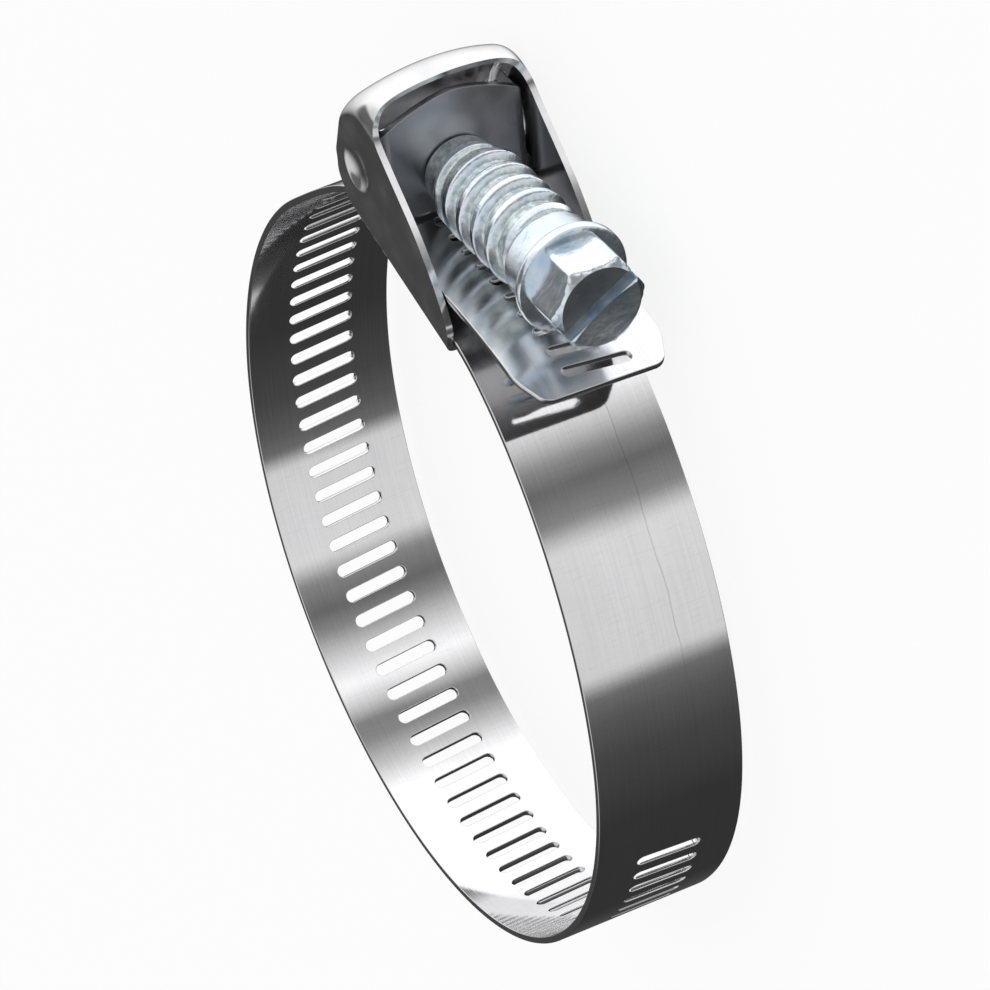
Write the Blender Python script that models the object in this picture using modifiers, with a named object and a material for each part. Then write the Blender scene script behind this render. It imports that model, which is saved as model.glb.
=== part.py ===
"""Quick-release worm-drive hose clamp, shown with its screw swung open.

Frame: +Z runs along the axis of the loop, +X points outwards through the
housing, and the head of the screw points towards -Y.  The origin lies on the
flat underside of the housing, where it sits on the hose.  Units are metres.
"""
import math

import bmesh
import bpy
from mathutils import Matrix, Vector

MM = 0.001

# Band: a strip of stainless steel, punched and rolled into a loop
BAND_WIDTH = 14.3 * MM
BAND_THICKNESS = 0.64 * MM
SLOT_PITCH = 2.5 * MM
SLOT_WIDTH = 1.15 * MM
SLOT_LENGTH = 6.4 * MM
SLOT_SEGMENTS = 4
TIP_MARGIN = 2.1 * MM
SLOT_SKEW = math.radians(5.0)
SLOT_OFF_CENTRE = 0.25 * MM
SLOTTED_LENGTH = 175.5 * MM
TIP_TAPER = 3.3 * MM
TIP_HALF_WIDTH = 5.8 * MM
TIP_CORNER_RADIUS = 0.9 * MM
TAIL_TWIST = math.radians(3.2)
TAIL_RISE = 4.8 * MM
TAIL_REACH = 22.3 * MM
TAIL_EASE = 12.3 * MM

# Loop: nearly round, a little out of true as a sprung band is
LOOP_RADIUS = 34.3 * MM
OVAL_HEIGHT = 1.72 * MM
OVAL_TURN = math.radians(24.4)
EGG_HEIGHT = 0.42 * MM
EGG_TURN = math.radians(13.4)
CORNER_HEIGHT = 0.16 * MM
CORNER_TURN = math.radians(17.1)
LOOP_FIRST_ANGLE = math.radians(-9.0)
LOOP_LAST_ANGLE = math.radians(-310.0)
SEAT_TO_LOOP_CENTRE = 34.1 * MM
SEAT_BEHIND_CENTRE = 8.0 * MM

# Housing: one formed sheet, open at the front and closed by a rounded end at the back
SHEET_THICKNESS = 0.6 * MM
SEAT_GAP = 0.1 * MM
HOUSING_HEIGHT = 15.4 * MM
HOUSING_FRONT = -9.5 * MM
HOUSING_BACK = 12.2 * MM
ARCH_FRONT = 7.3 * MM
ROOF_RADIUS = 15.0 * MM
TOP_CORNER_RADIUS = 3.0 * MM
BOTTOM_CORNER_RADIUS = 0.9 * MM
ROOF_DROP = 7.0 * MM
SIDE_ROUNDING = 1.2 * MM
END_WALL_FOOT = 5.0 * MM
BASE_BACK = 7.6 * MM
PLAIN_END_MARGIN = 1.0 * MM
TOP_LAYER_BACK = 6.6 * MM
TOP_LAYER_FRONT = 2.6 * MM

# Swivel: pressed pivots in the walls carry the bracket that holds the screw
PIVOT_HEIGHT = 5.7 * MM
PIVOT_BACK = 7.8 * MM
PIVOT_RADIUS = 2.3 * MM
PIVOT_DEPTH = 0.5 * MM
OPEN_TILT = math.radians(19.7)
BRACKET_THICKNESS = 0.65 * MM
PLATE_REACH = 2.95 * MM
PLATE_HEADROOM = 2.3 * MM
PLATE_TOP = HOUSING_HEIGHT - SHEET_THICKNESS - PLATE_HEADROOM - PIVOT_HEIGHT
PLATE_SHOULDER = PLATE_TOP - 1.9 * MM
PLATE_BOTTOM = -4.4 * MM
EAR_RADIUS = 3.0 * MM
PLATE_SIDE_TOP = EAR_RADIUS - 0.2 * MM
BEND_RADIUS = 1.1 * MM
RUNNING_GAP = 0.12 * MM

# Screw: one turned piece with a flanged hexagon head
SCREW_DROP = 1.1 * MM
NECK_RADIUS = 2.3 * MM
SWAGED_RADIUS = 2.9 * MM
SWAGED_LENGTH = 1.0 * MM
SHOULDER_RADIUS = 3.35 * MM
SHOULDER_LENGTH = 1.7 * MM
THREAD_RADIUS = 4.32 * MM
THREAD_DEPTH = 0.8 * MM
THREAD_START = 6.1 * MM
THREAD_END = 19.2 * MM
COLLAR_RADIUS = 4.3 * MM
FLANGE_RADIUS = 5.2 * MM
FLANGE_THICKNESS = 1.0 * MM
FLANGE_FACE = 24.4 * MM
HEX_ACROSS_FLATS = 7.94 * MM
HEAD_HEIGHT = 4.8 * MM
HEAD_CHAMFER = 0.7 * MM
DRIVER_SLOT_WIDTH = 1.3 * MM
DRIVER_SLOT_DEPTH = 1.6 * MM
DRIVER_SLOT_TURN = math.radians(19.0)
ROUND_STEPS = 48

# Clinch buttons: two pressed knobs in the base that hold the plain band end
BUTTON_RADIUS = 1.3 * MM
BUTTON_SPACING = 7.0 * MM
BUTTON_BACK = 4.4 * MM

# Heights of the two layers of band inside the housing, at their outer faces
LOWER_FACE = SHEET_THICKNESS + SEAT_GAP + BAND_THICKNESS
UPPER_FACE = LOWER_FACE + SEAT_GAP + BAND_THICKNESS
INNER_HALF_WIDTH = BAND_WIDTH / 2 + SEAT_GAP
OUTER_HALF_WIDTH = INNER_HALF_WIDTH + SHEET_THICKNESS
EAR_OUTER = INNER_HALF_WIDTH - RUNNING_GAP
PLATE_FACE = PLATE_REACH + BRACKET_THICKNESS
FAR = 40.0 * MM
CLEAR = 2.0 * MM


def empty_scene():
    for old in list(bpy.data.objects):
        bpy.data.objects.remove(old, do_unlink=True)


def collection(name):
    group = bpy.data.collections.new(name)
    bpy.context.scene.collection.children.link(group)
    return group


def metal(name, colour, roughness):
    finish = bpy.data.materials.new(name)
    finish.use_nodes = True
    shader = finish.node_tree.nodes["Principled BSDF"]
    shader.inputs["Base Color"].default_value = (*colour, 1.0)
    shader.inputs["Metallic"].default_value = 1.0
    shader.inputs["Roughness"].default_value = roughness
    return finish


def add_object(name, mesh, group, finish=None):
    piece = bpy.data.objects.new(name, mesh)
    group.objects.link(piece)
    if finish is not None:
        mesh.materials.clear()
        mesh.materials.append(finish)
    return piece


def mesh_from(bm, name, smooth_angle=None):
    bmesh.ops.recalc_face_normals(bm, faces=bm.faces[:])
    mesh = bpy.data.meshes.new(name)
    bm.to_mesh(mesh)
    bm.free()
    if smooth_angle is not None:
        mesh.shade_smooth()
        mesh.set_sharp_from_angle(angle=smooth_angle)
    return mesh


def cutter(name, bm, group):
    tool = add_object(name, mesh_from(bm, name), group)
    tool.hide_render = True
    tool.display_type = "WIRE"
    return tool


def boolean(piece, tool, operation="DIFFERENCE"):
    step = piece.modifiers.new(tool.name, "BOOLEAN")
    step.operation = operation
    step.object = tool
    step.solver = "EXACT"


def evaluated_mesh(piece):
    graph = bpy.context.evaluated_depsgraph_get()
    return bpy.data.meshes.new_from_object(piece.evaluated_get(graph))


def prism(outline, low, high, axes):
    """Closed solid: a flat outline pushed from low to high along the third axis.

    axes names the row-frame direction of the outline's first value, of its
    second value, and of the push.
    """
    bm = bmesh.new()
    first, second, push = (Vector(axis) for axis in axes)
    ring = [bm.verts.new(first * p[0] + second * p[1] + push * low) for p in outline]
    face = bm.faces.new(ring)
    pushed = bmesh.ops.extrude_face_region(bm, geom=[face])["geom"]
    moved = [item for item in pushed if isinstance(item, bmesh.types.BMVert)]
    bmesh.ops.translate(bm, verts=moved, vec=push * (high - low))
    return bm


X_AXIS, Y_AXIS, Z_AXIS = (1, 0, 0), (0, 1, 0), (0, 0, 1)


def cubic(start, handle_a, handle_b, end, steps):
    """Points of a cubic curve, without its first point."""
    points = []
    for step in range(1, steps + 1):
        t = step / steps
        r = 1.0 - t
        points.append(start * r ** 3 + handle_a * (3 * r * r * t)
                      + handle_b * (3 * r * t * t) + end * t ** 3)
    return points


def smooth_outline(corners, steps):
    """A curve through every corner, its direction at each set by the two beside it."""
    points = [corners[0].copy()]
    last = len(corners) - 1
    for index in range(last):
        here, there = corners[index], corners[index + 1]
        before = corners[max(index - 1, 0)]
        after = corners[min(index + 2, last)]
        points += cubic(here, here + (there - before) / 6, there - (after - here) / 6,
                        there, steps)
    return points


def arc(centre, radius, start, end, steps):
    angles = [start + (end - start) * step / steps for step in range(steps + 1)]
    return [centre + Vector((math.cos(a), math.sin(a))) * radius for a in angles]


# Band

LOOP_CENTRE = Vector((-SEAT_TO_LOOP_CENTRE, -SEAT_BEHIND_CENTRE))


def loop_radius(angle):
    return (LOOP_RADIUS
            + OVAL_HEIGHT * math.cos(2 * (angle - OVAL_TURN))
            + EGG_HEIGHT * math.cos(3 * (angle - EGG_TURN))
            + CORNER_HEIGHT * math.cos(4 * (angle - CORNER_TURN)))


def loop_point(angle):
    return LOOP_CENTRE + Vector((math.cos(angle), math.sin(angle))) * loop_radius(angle)


def loop_direction(angle):
    """The way the band runs at an angle of the loop, from plain end to tail."""
    step = math.radians(0.1)
    return (loop_point(angle - step) - loop_point(angle + step)).normalized()


def band_route():
    """The band's outer face seen along the loop's axis, plain end to tail tip."""
    forward = Vector((0, -1))
    plain_end = Vector((LOWER_FACE, BASE_BACK - PLAIN_END_MARGIN))
    leaves_seat = Vector((LOWER_FACE, HOUSING_FRONT + 1.8 * MM))
    joins_loop = loop_point(LOOP_FIRST_ANGLE)
    reach = (joins_loop - leaves_seat).length / 3
    route = [plain_end, leaves_seat]
    route += cubic(leaves_seat, leaves_seat + forward * reach,
                   joins_loop - loop_direction(LOOP_FIRST_ANGLE) * reach, joins_loop, 8)
    turns = 180
    for step in range(1, turns + 1):
        share = step / turns
        route.append(loop_point(LOOP_FIRST_ANGLE + (LOOP_LAST_ANGLE - LOOP_FIRST_ANGLE) * share))
    leaves_loop = route[-1]
    enters = Vector((UPPER_FACE, TOP_LAYER_BACK))
    route += cubic(leaves_loop, leaves_loop + loop_direction(LOOP_LAST_ANGLE) * 9.0 * MM,
                   enters - forward * 3.2 * MM, enters, 24)
    lifts = Vector((UPPER_FACE, TOP_LAYER_FRONT))
    tip = Vector((UPPER_FACE + TAIL_RISE, -TAIL_REACH))
    route += cubic(lifts, lifts + Vector((0.1 * MM, -4.0 * MM)),
                   tip + Vector((-0.1 * MM, TAIL_EASE)), tip, 24)
    return route


class Route:
    """Places a point of the flat strip on the rolled band."""

    def __init__(self, points):
        self.points = points
        self.stations = [0.0]
        for before, after in zip(points, points[1:]):
            self.stations.append(self.stations[-1] + (after - before).length)
        self.length = self.stations[-1]

    def at(self, run):
        last = len(self.points) - 2
        index = 0
        low, high = 0, last
        while low <= high:
            index = (low + high) // 2
            if run < self.stations[index]:
                high = index - 1
            elif run > self.stations[index + 1]:
                low = index + 1
            else:
                break
        start, end = self.points[index], self.points[index + 1]
        direction = (end - start).normalized()
        spot = start + direction * (run - self.stations[index])
        return spot, self.smooth_direction(run, index)

    def smooth_direction(self, run, index):
        """Direction blended between the joints of the route."""
        here = self.joint_direction(index)
        there = self.joint_direction(index + 1)
        span = self.stations[index + 1] - self.stations[index]
        share = min(max((run - self.stations[index]) / span, 0.0), 1.0)
        return here.lerp(there, share).normalized()

    def joint_direction(self, index):
        before = self.points[max(index - 1, 0)]
        after = self.points[min(index + 1, len(self.points) - 1)]
        return (after - before).normalized()


def flat_strip(length):
    """The straight strip before punching: X along it, Y across, Z its thickness."""
    tip_bend = length - TIP_TAPER
    half = BAND_WIDTH / 2
    outline = [Vector((0, -half)), Vector((tip_bend, -half)),
               Vector((length, -TIP_HALF_WIDTH)), Vector((length, TIP_HALF_WIDTH)),
               Vector((tip_bend, half)), Vector((0, half))]
    bm = prism(outline, -BAND_THICKNESS, 0.0, (X_AXIS, Y_AXIS, Z_AXIS))
    upright = [edge for edge in bm.edges
               if abs(edge.verts[0].co.z - edge.verts[1].co.z) > BAND_THICKNESS / 2
               and edge.verts[0].co.x > tip_bend - CLEAR / 100]
    bmesh.ops.bevel(bm, geom=upright, offset=TIP_CORNER_RADIUS, offset_type="OFFSET",
                    segments=3, profile=0.5, affect="EDGES", material=-1)
    return bm


def slot_stations(length):
    count = int(SLOTTED_LENGTH / SLOT_PITCH)
    last = length - TIP_MARGIN
    return [last - SLOT_PITCH * index for index in range(count)]


def slot_punches(stations):
    """Round-ended punches, one at each station."""
    bm = bmesh.new()
    half_turn = math.pi
    reach = (SLOT_LENGTH - SLOT_WIDTH) / 2
    for station in stations:
        outline = []
        for side in (1, -1):
            centre = Vector((station + side * reach * math.tan(SLOT_SKEW),
                             SLOT_OFF_CENTRE + side * reach))
            start = 0.0 if side > 0 else half_turn
            outline += arc(centre, SLOT_WIDTH / 2, start, start + half_turn, SLOT_SEGMENTS)
        punch = prism(outline, -CLEAR, CLEAR, (X_AXIS, Y_AXIS, Z_AXIS))
        mesh = bpy.data.meshes.new("punch")
        punch.to_mesh(mesh)
        punch.free()
        bm.from_mesh(mesh)
        bpy.data.meshes.remove(mesh)
    return bm


def button_holes():
    bm = bmesh.new()
    run = BASE_BACK - PLAIN_END_MARGIN - BUTTON_BACK
    for side in (-0.5, 0.5):
        place = Matrix.Translation((run, side * BUTTON_SPACING, 0))
        bmesh.ops.create_cone(bm, cap_ends=True, segments=16, depth=2 * CLEAR,
                              radius1=BUTTON_RADIUS + SEAT_GAP,
                              radius2=BUTTON_RADIUS + SEAT_GAP, matrix=place)
    return bm


def mid_sheet(points):
    """The route moved inwards by half the band's thickness."""
    moved = []
    for index, point in enumerate(points):
        before = points[max(index - 1, 0)]
        after = points[min(index + 1, len(points) - 1)]
        direction = (after - before).normalized()
        moved.append(point - Vector((-direction.y, direction.x)) * (BAND_THICKNESS / 2))
    return moved


def make_band(parts, cutters, finish):
    """Punch the strip flat, then roll it along its route."""
    route = Route(mid_sheet(band_route()))
    bm = flat_strip(route.length)
    slots = slot_stations(route.length)
    line = slots[0] + SLOT_PITCH / 2
    while line > 0:
        bmesh.ops.bisect_plane(bm, geom=bm.verts[:] + bm.edges[:] + bm.faces[:],
                               plane_co=(line, 0, 0), plane_no=(1, 0, 0))
        line -= SLOT_PITCH
    strip = add_object("flat_strip", mesh_from(bm, "flat_strip"), cutters)
    boolean(strip, cutter("slot_punches", slot_punches(slots), cutters))
    boolean(strip, cutter("button_punches", button_holes(), cutters))
    bpy.context.view_layer.update()
    mesh = evaluated_mesh(strip)
    bpy.data.objects.remove(strip)
    bm = bmesh.new()
    bm.from_mesh(mesh)
    bmesh.ops.triangulate(bm, faces=bm.faces[:], quad_method="BEAUTY", ngon_method="BEAUTY")
    twist_from = route.length - TAIL_REACH - TOP_LAYER_FRONT
    for vert in bm.verts:
        run, across, depth = vert.co
        spot, direction = route.at(run)
        outwards = Vector((-direction.y, direction.x))
        free = max(run - twist_from, 0.0) / (route.length - twist_from)
        lift = depth + BAND_THICKNESS / 2
        lift -= across * math.sin(TAIL_TWIST) * min(3 * free, 1.0)
        flat = spot + outwards * lift
        vert.co = (flat.x, flat.y, -across)
    mesh.clear_geometry()
    bm.to_mesh(mesh)
    bm.free()
    mesh.shade_smooth()
    mesh.set_sharp_from_angle(angle=math.radians(30))
    return add_object("band", mesh, parts, finish)


# Housing

def rounded_off(back, start, depth):
    """How far a rounded end of that depth has come in at a distance along Y."""
    along = min(max((back - start) / (HOUSING_BACK - start), 0.0), 1.0)
    return depth * (1.0 - math.sqrt(1.0 - along * along))


def housing_section(back):
    """The sheet's outer outline at one station, as points (height, across)."""
    top = HOUSING_HEIGHT - rounded_off(back, ARCH_FRONT, ROOF_DROP)
    wide = OUTER_HALF_WIDTH - rounded_off(back, HOUSING_BACK - SIDE_ROUNDING, SIDE_ROUNDING)
    corner = TOP_CORNER_RADIUS
    low = BOTTOM_CORNER_RADIUS
    across = wide - corner
    reach = ROOF_RADIUS - corner
    lean = math.asin(across / reach)
    quarter = math.pi / 2
    right = arc(Vector((low, wide - low)), low, math.pi, quarter, 4)
    right += arc(Vector((top - ROOF_RADIUS + reach * math.cos(lean), across)), corner,
                 quarter, lean, 7)
    roof = arc(Vector((top - ROOF_RADIUS, 0.0)), ROOF_RADIUS, lean, -lean, 8)[1:-1]
    left = [Vector((p.x, -p.y)) for p in reversed(right)]
    return right + roof + left


def loft(rings):
    """A tube open at its first ring and closed at its last, all with as many points."""
    bm = bmesh.new()
    rows = [[bm.verts.new(point) for point in ring] for ring in rings]
    for row, after in zip(rows, rows[1:]):
        for index in range(len(row)):
            other = (index + 1) % len(row)
            bm.faces.new((row[index], row[other], after[other], after[index]))
    bm.faces.new(rows[-1][::-1])
    return bm


def front_cut():
    """What is cut away in front of the sloping wall edges, as (x, y)."""
    top = HOUSING_HEIGHT
    edge = smooth_outline([Vector((top - 1.0 * MM, ARCH_FRONT)),
                           Vector((top - 2.0 * MM, ARCH_FRONT - 0.5 * MM)),
                           Vector((top - 3.8 * MM, ARCH_FRONT - 2.2 * MM)),
                           Vector((top - 7.8 * MM, ARCH_FRONT - 10.4 * MM)),
                           Vector((3.2 * MM, HOUSING_FRONT + 0.8 * MM)),
                           Vector((0.7 * MM, HOUSING_FRONT)), Vector((-CLEAR, HOUSING_FRONT))],
                          4)
    return [Vector((FAR, ARCH_FRONT))] + edge + [Vector((-CLEAR, -FAR)), Vector((FAR, -FAR))]


def back_cut():
    """What is cut away below the end wall and behind the walls' lower edges, as (x, y)."""
    edge = smooth_outline([Vector((-CLEAR, 7.4 * MM)), Vector((0.4 * MM, 8.0 * MM)),
                           Vector((2.2 * MM, 10.4 * MM)), Vector((4.2 * MM, 11.4 * MM)),
                           Vector((END_WALL_FOOT, HOUSING_BACK + CLEAR))], 4)
    return edge + [Vector((END_WALL_FOOT, FAR)), Vector((-CLEAR, FAR))]


def pressed_knob(centre, direction, radius, depth, sheet):
    """A knob pressed through a sheet: its hollow and its raised side.

    centre lies on the sheet's face that the punch met.
    """
    turn = Vector(Z_AXIS).rotation_difference(direction).to_matrix().to_4x4()
    slope = 0.8 * depth
    shapes = []
    for low, high, wide in ((-CLEAR, depth, radius),
                            (sheet / 2, sheet + depth, radius - 0.25 * sheet)):
        bm = bmesh.new()
        place = Matrix.Translation(centre + direction * ((low + high) / 2)) @ turn
        grown = wide + slope * (high - low) / depth * 0.5 if low < 0 else wide
        bmesh.ops.create_cone(bm, cap_ends=True, segments=24, depth=high - low,
                              radius1=grown, radius2=wide - slope, matrix=place)
        shapes.append(bm)
    return shapes


def make_housing(parts, cutters, finish):
    stations = [HOUSING_FRONT - CLEAR, ARCH_FRONT]
    steps = 9
    for step in range(1, steps + 1):
        turn = math.pi / 2 * step / steps
        stations.append(ARCH_FRONT + (HOUSING_BACK - ARCH_FRONT) * math.sin(turn))
    rings = [[(p.x, back, p.y) for p in housing_section(back)] for back in stations]
    shell = loft(rings)
    housing = add_object("housing", mesh_from(shell, "housing", math.radians(35)), parts, finish)
    fold = housing.modifiers.new("sheet", "SOLIDIFY")
    fold.thickness = SHEET_THICKNESS
    fold.offset = -1.0
    fold.use_even_offset = True

    knobs = []
    for side in (-1, 1):
        centre = Vector((PIVOT_HEIGHT, PIVOT_BACK, side * OUTER_HALF_WIDTH))
        knobs.append((f"pivot_{'low' if side < 0 else 'high'}", centre, Vector((0, 0, -side)),
                      PIVOT_RADIUS, PIVOT_DEPTH))
        centre = Vector((0, BUTTON_BACK, side * BUTTON_SPACING / 2))
        knobs.append((f"button_{'low' if side < 0 else 'high'}", centre, Vector(X_AXIS),
                      BUTTON_RADIUS, 0.4 * MM))
    for name, centre, direction, radius, depth in knobs:
        hollow, raised = pressed_knob(centre, direction, radius, depth, SHEET_THICKNESS)
        boolean(housing, cutter(name + "_raised", raised, cutters), "UNION")
        boolean(housing, cutter(name + "_hollow", hollow, cutters))
    for name, outline in (("front_cut", front_cut()), ("back_cut", back_cut())):
        trim = prism(outline, -FAR, FAR, (X_AXIS, Y_AXIS, Z_AXIS))
        boolean(housing, cutter(name, trim, cutters))
    entry = [Vector((-CLEAR, BASE_BACK)), Vector((UPPER_FACE, BASE_BACK)),
             Vector((UPPER_FACE, FAR)), Vector((-CLEAR, FAR))]
    mouth = prism(entry, -INNER_HALF_WIDTH, INNER_HALF_WIDTH, (X_AXIS, Y_AXIS, Z_AXIS))
    boolean(housing, cutter("band_entry", mouth, cutters))
    return housing


# Swivel bracket: its own frame has the pivot at the origin, +X up the plate
# and -Y towards the head of the screw

def make_bracket(parts, cutters, finish, pivot):
    half = EAR_OUTER
    legs = [Vector((EAR_RADIUS + CLEAR, half))]
    legs += arc(Vector((-PLATE_FACE + BEND_RADIUS, half - BEND_RADIUS)), BEND_RADIUS,
                math.pi / 2, math.pi, 4)
    legs += [Vector((p.x, -p.y)) for p in reversed(legs)]
    bm = bmesh.new()
    low, high = PLATE_BOTTOM - CLEAR, PLATE_TOP + CLEAR
    rows = [[bm.verts.new((x, p.x, p.y)) for p in legs] for x in (low, high)]
    for index in range(len(legs) - 1):
        bm.faces.new((rows[0][index], rows[0][index + 1], rows[1][index + 1], rows[1][index]))
    mesh = bpy.data.meshes.new("swivel_bracket")
    bm.to_mesh(mesh)
    bm.free()
    bracket = add_object("swivel_bracket", mesh, parts, finish)
    bracket.parent = pivot
    sheet = bracket.modifiers.new("sheet", "SOLIDIFY")
    sheet.thickness = BRACKET_THICKNESS
    sheet.offset = -1.0
    sheet.use_even_offset = True

    side = PLATE_SIDE_TOP
    top = smooth_outline([Vector((side - 0.2 * MM, -half - CLEAR)), Vector((side, -half)),
                          Vector((PLATE_SHOULDER, -half + 0.9 * MM)), Vector((PLATE_TOP, 0)),
                          Vector((PLATE_SHOULDER, half - 0.9 * MM)), Vector((side, half)),
                          Vector((side - 0.2 * MM, half + CLEAR))], 5)
    front_view = [Vector((PLATE_BOTTOM, -half - CLEAR))] + top
    front_view.append(Vector((PLATE_BOTTOM, half + CLEAR)))
    blank = prism(front_view, -FAR, FAR, (X_AXIS, Z_AXIS, Y_AXIS))
    boolean(bracket, parented(cutter("plate_outline", blank, cutters), pivot), "INTERSECT")

    ear = arc(Vector((0, 0)), EAR_RADIUS, math.radians(-90), math.radians(80), 10)
    ear = [Vector((p.y, p.x)) for p in ear]
    side_view = ear + [Vector((PLATE_TOP + CLEAR, -PLATE_REACH + 0.6 * MM)),
                       Vector((PLATE_TOP + CLEAR, -PLATE_FACE - CLEAR)),
                       Vector((PLATE_BOTTOM - CLEAR, -PLATE_FACE - CLEAR)),
                       Vector((PLATE_BOTTOM - CLEAR, -PLATE_REACH)),
                       Vector((-EAR_RADIUS - 0.3 * MM, -PLATE_REACH + 0.4 * MM))]
    blank = prism(side_view, -FAR, FAR, (X_AXIS, Y_AXIS, Z_AXIS))
    boolean(bracket, parented(cutter("ear_outline", blank, cutters), pivot), "INTERSECT")

    bm = bmesh.new()
    wide = PIVOT_RADIUS + RUNNING_GAP - 0.25 * SHEET_THICKNESS
    bmesh.ops.create_cone(bm, cap_ends=True, segments=24, radius1=wide, radius2=wide,
                          depth=4 * OUTER_HALF_WIDTH)
    boolean(bracket, parented(cutter("ear_holes", bm, cutters), pivot))
    bm = bmesh.new()
    wide = NECK_RADIUS + RUNNING_GAP
    place = Matrix.Translation((-SCREW_DROP, -PLATE_REACH, 0)) @ Matrix.Rotation(math.pi / 2, 4, "X")
    bmesh.ops.create_cone(bm, cap_ends=True, segments=32, radius1=wide, radius2=wide,
                          depth=2 * CLEAR, matrix=place)
    boolean(bracket, parented(cutter("screw_hole", bm, cutters), pivot))
    return bracket


def parented(piece, parent):
    piece.parent = parent
    return piece


# Screw: its own frame has +Z along its axis, towards the head

def turned(profile):
    """A closed solid turned from (distance along, radius) points, ends on the axis."""
    bm = bmesh.new()
    verts = [bm.verts.new((radius, 0, along)) for along, radius in profile]
    edges = [bm.edges.new(pair) for pair in zip(verts, verts[1:])]
    bmesh.ops.spin(bm, geom=verts + edges, cent=(0, 0, 0), axis=Z_AXIS, dvec=(0, 0, 0),
                   angle=2 * math.pi, steps=ROUND_STEPS, use_merge=True, use_duplicate=False)
    bmesh.ops.remove_doubles(bm, verts=bm.verts[:], dist=0.001 * MM)
    bmesh.ops.dissolve_degenerate(bm, edges=bm.edges[:], dist=0.0005 * MM)
    return bm


def core_profile():
    root = THREAD_RADIUS - THREAD_DEPTH
    plate_back = PLATE_REACH - RUNNING_GAP
    plate_front = PLATE_FACE + RUNNING_GAP
    shoulder_end = plate_front + SHOULDER_LENGTH
    flange_back = FLANGE_FACE - FLANGE_THICKNESS
    edge = 0.25 * MM
    return [(plate_back - SWAGED_LENGTH, 0.0),
            (plate_back - SWAGED_LENGTH, SWAGED_RADIUS - edge),
            (plate_back - SWAGED_LENGTH + edge, SWAGED_RADIUS),
            (plate_back, SWAGED_RADIUS), (plate_back, NECK_RADIUS),
            (plate_front, NECK_RADIUS), (plate_front, SHOULDER_RADIUS - edge),
            (plate_front + edge, SHOULDER_RADIUS), (shoulder_end - edge, SHOULDER_RADIUS),
            (shoulder_end, root), (THREAD_END - edge, root),
            (THREAD_END + 2 * edge, COLLAR_RADIUS), (flange_back - 2 * edge, COLLAR_RADIUS),
            (flange_back, FLANGE_RADIUS - edge), (flange_back + edge, FLANGE_RADIUS),
            (FLANGE_FACE - edge, FLANGE_RADIUS), (FLANGE_FACE, FLANGE_RADIUS - edge),
            (FLANGE_FACE, 0.0)]


def thread_ridge():
    """The worm thread: one ridge wound round the core, fading in at both ends."""
    root = THREAD_RADIUS - THREAD_DEPTH
    buried = root - 0.5 * MM
    turns = (THREAD_END - THREAD_START) / SLOT_PITCH
    steps_per_turn = 32
    steps = round(turns * steps_per_turn)
    fade = 0.45
    bm = bmesh.new()
    rows = []
    for step in range(steps + 1):
        turn = step / steps_per_turn
        swell = min(turn / fade, (turns - turn) / fade, 1.0)
        swell = max(math.sin(math.pi / 2 * max(swell, 0.0)), 0.02)
        crest = root + THREAD_DEPTH * swell
        angle = 2 * math.pi * turn
        along = THREAD_START + SLOT_PITCH * turn
        section = [(buried, -0.36), (root, -0.34), (crest - 0.15 * THREAD_DEPTH, -0.17),
                   (crest, -0.10), (crest, 0.10), (crest - 0.15 * THREAD_DEPTH, 0.17),
                   (root, 0.34), (buried, 0.36)]
        rows.append([bm.verts.new((radius * math.cos(angle), radius * math.sin(angle),
                                   along + share * SLOT_PITCH)) for radius, share in section])
    for row, after in zip(rows, rows[1:]):
        for index in range(len(row)):
            other = (index + 1) % len(row)
            bm.faces.new((row[index], row[other], after[other], after[index]))
    bm.faces.new(rows[0])
    bm.faces.new(rows[-1])
    return bm


def hexagon_head(cutters, holder):
    """A hexagonal prism whose end corners are turned off."""
    corner = HEX_ACROSS_FLATS / math.sqrt(3)
    low, high = FLANGE_FACE - FLANGE_THICKNESS / 2, FLANGE_FACE + HEAD_HEIGHT
    bm = bmesh.new()
    place = Matrix.Translation((0, 0, (low + high) / 2)) @ Matrix.Rotation(math.pi / 2, 4, "Z")
    bmesh.ops.create_cone(bm, cap_ends=True, segments=6, radius1=corner, radius2=corner,
                          depth=high - low, matrix=place)
    head = parented(cutter("hexagon", bm, cutters), holder)
    slope = HEAD_CHAMFER * 1.6
    bm = turned([(low - CLEAR, 0.0), (low - CLEAR, corner + slope),
                 (high - HEAD_CHAMFER, corner + 0.05 * MM), (high, corner - slope * 0.62),
                 (high, 0.0)])
    boolean(head, parented(cutter("head_chamfer", bm, cutters), holder), "INTERSECT")
    return head


def make_screw(parts, cutters, finish, axle):
    screw = add_object("worm_screw", mesh_from(turned(core_profile()), "worm_screw",
                                               math.radians(35)), parts, finish)
    screw.parent = axle
    boolean(screw, parented(cutter("thread", thread_ridge(), cutters), axle), "UNION")
    boolean(screw, hexagon_head(cutters, axle), "UNION")
    bm = bmesh.new()
    top = FLANGE_FACE + HEAD_HEIGHT
    place = (Matrix.Translation((0, 0, top)) @ Matrix.Rotation(DRIVER_SLOT_TURN, 4, "Z")
             @ Matrix.Diagonal((DRIVER_SLOT_WIDTH, 2 * FLANGE_RADIUS, 2 * DRIVER_SLOT_DEPTH, 1)))
    bmesh.ops.create_cube(bm, size=1.0, matrix=place)
    boolean(screw, parented(cutter("driver_slot", bm, cutters), axle))
    return screw


def empty(name, group, location, rotation, parent=None):
    marker = bpy.data.objects.new(name, None)
    group.objects.link(marker)
    marker.location = location
    marker.rotation_euler = rotation
    marker.parent = parent
    return marker


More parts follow.
